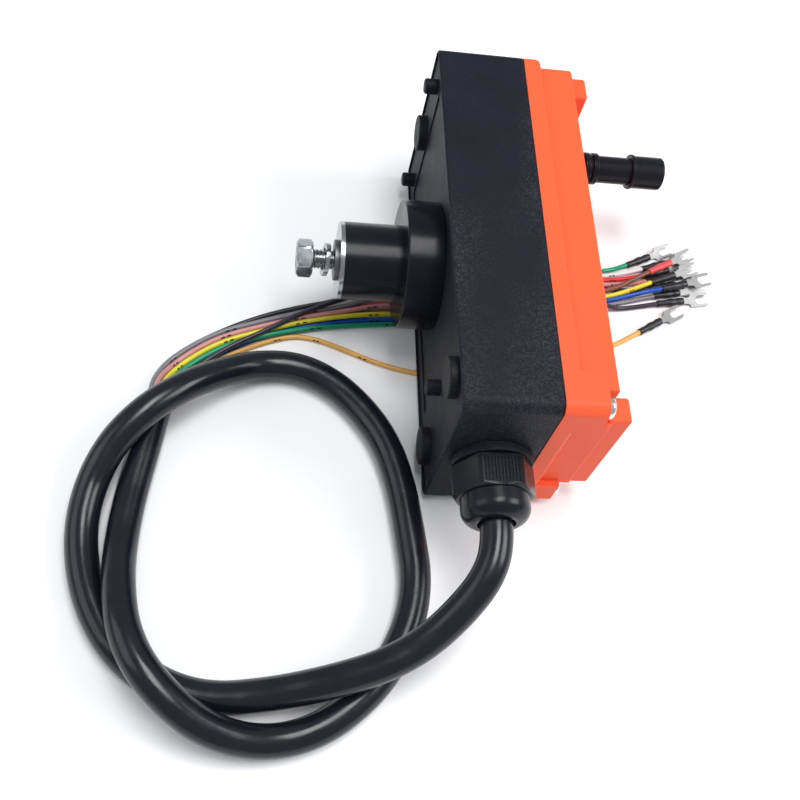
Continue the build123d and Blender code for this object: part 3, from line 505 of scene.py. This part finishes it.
def hex_head(x0, x1, flats, steps=72):
    """Hexagon head along x, chamfered by turning at both ends, with a shallow dish in the face at x0."""
    apothem = flats / 2
    corner = apothem / math.cos(math.pi / 6)

    def hexagon(angle):
        local = (angle + math.pi / 6) % (math.pi / 3) - math.pi / 6
        return apothem / math.cos(local)

    inner = apothem * 0.97
    dish = 0.25
    rings = [(x0 + dish, None, inner * 0.80), (x0 + dish, None, inner * 0.84), (x0, None, inner * 0.88),
             (x0, None, inner)]
    for cut in (0.25, 0.5, 0.75, 1.0):
        rings.append((x0 + (corner - inner) * 0.85 * cut, inner + (corner - inner) * cut, None))
    for cut in (1.0, 0.75, 0.5, 0.25, 0.0):
        rings.append((x1 - (corner - inner) * 0.7 * cut, inner + (corner - inner) * cut, None))
    verts = []
    for x, limit, fixed in rings:
        for k in range(steps):
            a = 2 * math.pi * k / steps
            r = fixed if fixed else min(hexagon(a), limit)
            verts.append((x * MM, r * math.cos(a) * MM, r * math.sin(a) * MM))
    return verts, skin(len(rings), steps)


HEAD_THICK = 6.3
THREAD_R, THREAD_PITCH, THREAD_DEPTH = 3.9, 1.25, 0.55


def mounting_bolt():
    low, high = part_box("mounting_bolt")
    head_x0, end = low[0] / MM, high[0] / MM
    flats = (high[2] - low[2]) / MM
    head_x1 = head_x0 + HEAD_THICK
    shank = threaded_rod(head_x1 - 0.3, end, THREAD_R, THREAD_PITCH, THREAD_DEPTH)
    bolt = mesh_object("bolt", *joined([hex_head(head_x0, head_x1, flats), shank]), "bolt", "zinc",
                       "mounting_bolt")
    sharp(bolt, 35)


def sharp(obj, degrees):
    """Smooth shading that breaks at edges sharper than this."""
    mesh = obj.data
    bm = bmesh.new()
    bm.from_mesh(mesh)
    for edge in bm.edges:
        if len(edge.link_faces) == 2 and edge.calc_face_angle(0) > math.radians(degrees):
            edge.smooth = False
    bm.to_mesh(mesh)
    bm.free()


def crimp_place(colour, along, roll):
    start, heading = ENDS[colour][1], ENDS[colour][2]
    x, y, z = end_point(start, heading, along)
    turn = Matrix.Rotation(math.radians(heading), 4, "Z") @ Matrix.Rotation(math.radians(roll), 4, "X")
    return Matrix.Translation((x * MM, y * MM, z * MM)) @ turn


def crimp_sleeve(colour):
    """Soft sleeve: tight on the wire, swelling over the crimped barrel, with a rolled lip at each end."""
    profile = [(0.0, 1.15), (0.0, 1.42), (0.25, 1.5), (3.6, 1.42), (4.9, 1.48), (6.0, 1.78), (7.5, 1.8),
               (8.6, 1.56), (9.6, 1.58), (10.5, 1.78), (11.5, 1.77), (12.2, 1.6), (12.9, 1.64), (13.0, 1.5),
               (13.0, 1.3), (11.8, 1.3)]
    verts, faces = lathe(profile, 32, lambda x: 1.0 - 0.12 * max(0.0, min(1.0, (x - 5) / 3)))
    slot = "sleeve_red" if colour == "brown" else "sleeve_black"
    place = crimp_place(colour, 0, FORK_ROLL[colour])
    return verts, faces, slot, place


def fork_terminal(colour):
    """Stamped fork terminal: rolled barrel, shoulder and two prongs with tapered tips."""
    bm = bmesh.new()
    x0, x1, tip = 5.6, 8.4, 18.6
    half, gap = 3.2, 1.9
    thick, crotch = 0.4, 12.0
    outline = [(x0, -1.3), (x1 - 1.0, -1.35)]
    for k in range(7):
        a = math.pi / 2 * k / 6
        outline.append((x1 + 1.3 * math.sin(a), -1.5 - (half - 1.5) * (1 - math.cos(a))))
    outline += [(tip - 3.5, -half), (tip - 1.2, -half + 0.1), (tip - 0.3, -half + 0.35),
                (tip, -half + 0.75), (tip - 0.4, -gap - 0.05), (tip - 1.2, -gap)]
    for k in range(13):
        a = -math.pi / 2 - math.pi * k / 12
        outline.append((crotch + gap + gap * math.cos(a), gap * math.sin(a)))
    outline += [(x, -y) for x, y in outline[:-13][::-1]]
    top = [bm.verts.new((x * MM, y * MM, thick * MM)) for x, y in outline]
    low = [bm.verts.new((x * MM, y * MM, -thick * MM)) for x, y in outline]
    count = len(outline)
    for k in range(count):
        j = (k + 1) % count
        bm.faces.new((top[k], top[j], low[j], low[k]))
    edges_top = [bm.edges.get((top[k], top[(k + 1) % count])) for k in range(count)]
    edges_low = [bm.edges.get((low[k], low[(k + 1) % count])) for k in range(count)]
    bmesh.ops.triangle_fill(bm, edges=edges_top, use_beauty=True)
    bmesh.ops.triangle_fill(bm, edges=edges_low, use_beauty=True)
    bm.verts.index_update()
    verts = [tuple(v.co) for v in bm.verts]
    faces = [tuple(v.index for v in f.verts) for f in bm.faces]
    bm.free()
    barrel = lathe([(0.0, 1.0), (0.0, 1.22), (0.2, 1.27), (5.6, 1.27), (5.9, 1.2), (5.9, 0.9)], 28)
    return joined([(verts, faces), barrel])


def crimped_end(colour):
    """One core's sleeve and fork terminal."""
    verts, faces, slot, place = crimp_sleeve(colour)
    node = "red_sleeve" if slot == "sleeve_red" else "black_sleeves"
    sleeve = mesh_object("sleeve_" + colour, verts, faces, "case", slot, node, place=place)
    verts, faces = fork_terminal(colour)
    place = crimp_place(colour, CORE_IN, FORK_ROLL[colour])
    fork = mesh_object("fork_" + colour, verts, faces, "case", "tin", "fork_terminals", place=place)
    for obj in (sleeve, fork):
        sharp(obj, 40)
    return [sleeve, fork]


# ---------------------------------------------------------------- pieces in place

mounting_bolt()
cable = spline("cable", SHEATH, SHEATH_R, "case", "sheath", "cable_sheath")
for colour in ENDS:
    route = core_route(colour)
    core = spline("wire_" + colour, route, CORE_R, "case", "core_" + colour, "core_" + colour)
    crimped_end(colour)


# ---------------------------------------------------------------- table, light and camera

def table_top():
    size, cells = 3.0, 12
    mesh = bpy.data.meshes.new("table_top")
    verts, faces = [], []
    for i in range(cells + 1):
        for j in range(cells + 1):
            verts.append(((i / cells - 0.5) * size, (j / cells - 0.5) * size, TABLE_TOP * MM))
    for i in range(cells):
        for j in range(cells):
            a = i * (cells + 1) + j
            faces.append((a, a + cells + 1, a + cells + 2, a + 1))
    mesh.from_pydata(verts, [], faces)
    obj = bpy.data.objects.new("table_top", mesh)
    bpy.context.collection.objects.link(obj)
    mat, shader = new_material("table_white", (0.93, 0.935, 0.95), 0.6)
    soft = noise(mat, 3, 2)
    mat.node_tree.links.new(ramp(mat, soft, [(0.2, (0.92, 0.925, 0.94)), (0.8, (0.94, 0.945, 0.955))]),
                            shader.inputs["Base Color"])
    mesh.materials.append(mat)


def area_light(name, place, size, power):
    """Soft rectangular light, aimed at the origin."""
    data = bpy.data.lights.new(name, "AREA")
    data.shape = "RECTANGLE"
    data.size, data.size_y = size
    data.energy = power
    obj = bpy.data.objects.new(name, data)
    bpy.context.collection.objects.link(obj)
    obj.location = place
    obj.rotation_euler = (-Vector(place)).to_track_quat("-Z", "Y").to_euler()


def studio():
    world = bpy.data.worlds.new("studio")
    bpy.context.scene.world = world
    world.use_nodes = True
    background = world.node_tree.nodes["Background"]
    background.inputs["Color"].default_value = (0.93, 0.96, 1.0, 1)
    background.inputs["Strength"].default_value = 0.42
    bpy.context.scene.view_settings.view_transform = "Standard"
    area_light("overhead", (0.1, -0.02, 1.15), (0.6, 0.42), 8.5)
    area_light("window", (1.0, -0.12, 0.85), (0.7, 0.6), 8.5)
    area_light("fill", (-1.0, -0.1, 0.7), (0.8, 0.8), 3.2)


def camera():
    """Camera at the photograph's angle, from 60 degrees above the table."""
    data = bpy.data.cameras.new("camera")
    data.lens = 45.72
    data.sensor_width = 36
    data.clip_start = 0.01
    obj = bpy.data.objects.new("camera", data)
    bpy.context.collection.objects.link(obj)
    right = Vector((0.98729, -0.03283, 0.15548))
    up = Vector((-0.04472, 0.88150, 0.47007))
    back = right.cross(up)
    turn = Matrix((right, up, back)).transposed().to_4x4()
    obj.matrix_world = Matrix.Translation((-0.03418, -0.23712, 0.32462)) @ turn
    bpy.context.scene.camera = obj


table_top()
studio()
camera()
